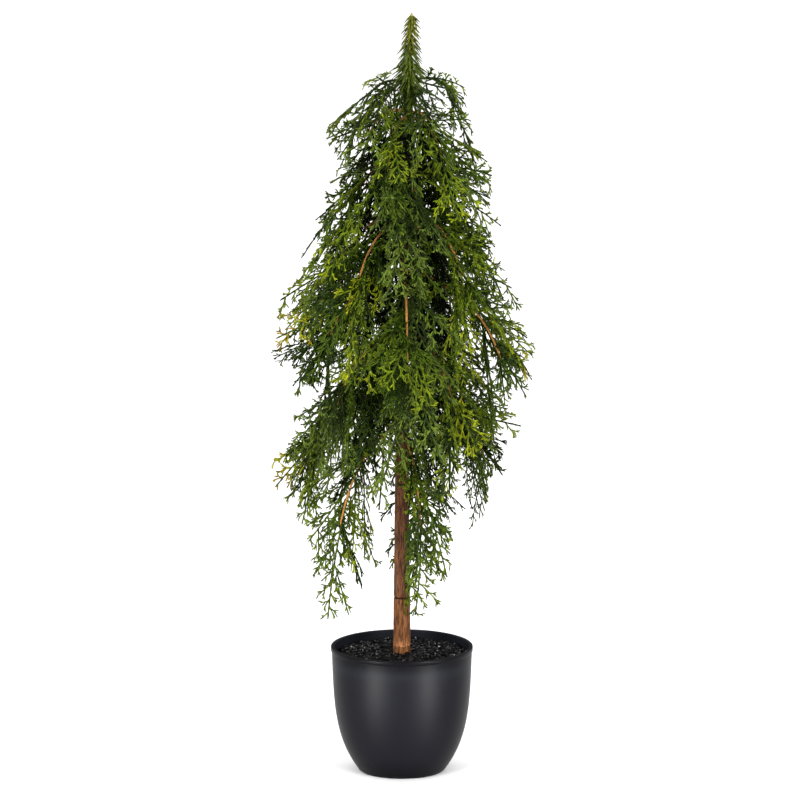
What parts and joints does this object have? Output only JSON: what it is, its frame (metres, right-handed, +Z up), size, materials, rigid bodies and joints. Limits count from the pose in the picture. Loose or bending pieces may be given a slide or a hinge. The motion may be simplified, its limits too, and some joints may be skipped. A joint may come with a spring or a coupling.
{
  "type": "artificial weeping cypress in a pot",
  "caption": "Tabletop artificial weeping evergreen: flat hanging sprays all round a slim bark-wrapped trunk with a needled tip, in a round tapered pot filled with dark grit.",
  "frame": {"origin": "middle of the pot's flat underside, on the surface it stands on", "axes": "+Z up along the trunk, -Y towards the front, +X to the right seen from the front"},
  "size_m": [0.2236, 0.2184, 0.7],
  "materials": {
    "pot_plastic": "satin",
    "potting_grit": "satin",
    "trunk_bark": "matte",
    "wire_wrap": "matte",
    "foliage_green": "satin",
    "shoot_olive": "satin"
  },
  "bodies": {
    "root": {"pot": "pot_plastic", "potting_grit": "potting_grit", "trunk": "trunk_bark", "needled_shoot": "shoot_olive", "bough_05": "wire_wrap", "bough_06": "wire_wrap", "bough_07": "wire_wrap", "bough_08": "wire_wrap", "bough_09": "wire_wrap", "bough_10": "wire_wrap", "bough_11": "wire_wrap", "bough_12": "wire_wrap", "bough_13": "wire_wrap", "bough_14": "wire_wrap", "bough_15": "wire_wrap", "bough_16": "wire_wrap", "bough_17": "wire_wrap", "bough_18": "wire_wrap", "bough_19": "wire_wrap", "bough_20": "wire_wrap", "bough_21": "wire_wrap", "bough_22": "wire_wrap", "bough_23": "wire_wrap", "bough_24": "wire_wrap", "bough_25": "wire_wrap", "bough_26": "wire_wrap", "bough_27": "wire_wrap", "bough_28": "wire_wrap", "bough_29": "wire_wrap", "bough_30": "wire_wrap", "foliage_01": "foliage_green", "foliage_02": "foliage_green", "foliage_03": "foliage_green", "foliage_04": "foliage_green", "foliage_05": "foliage_green", "foliage_06": "foliage_green", "foliage_07": "foliage_green", "foliage_08": "foliage_green", "foliage_09": "foliage_green", "foliage_10": "foliage_green", "foliage_11": "foliage_green", "foliage_12": "foliage_green", "foliage_13": "foliage_green", "foliage_14": "foliage_green", "foliage_15": "foliage_green", "foliage_16": "foliage_green", "foliage_17": "foliage_green", "foliage_18": "foliage_green", "foliage_19": "foliage_green", "foliage_20": "foliage_green", "foliage_21": "foliage_green", "foliage_22": "foliage_green", "foliage_23": "foliage_green", "foliage_24": "foliage_green", "foliage_25": "foliage_green", "foliage_26": "foliage_green", "foliage_27": "foliage_green", "foliage_28": "foliage_green", "foliage_29": "foliage_green", "foliage_30": "foliage_green"}
  },
  "joints": []
}
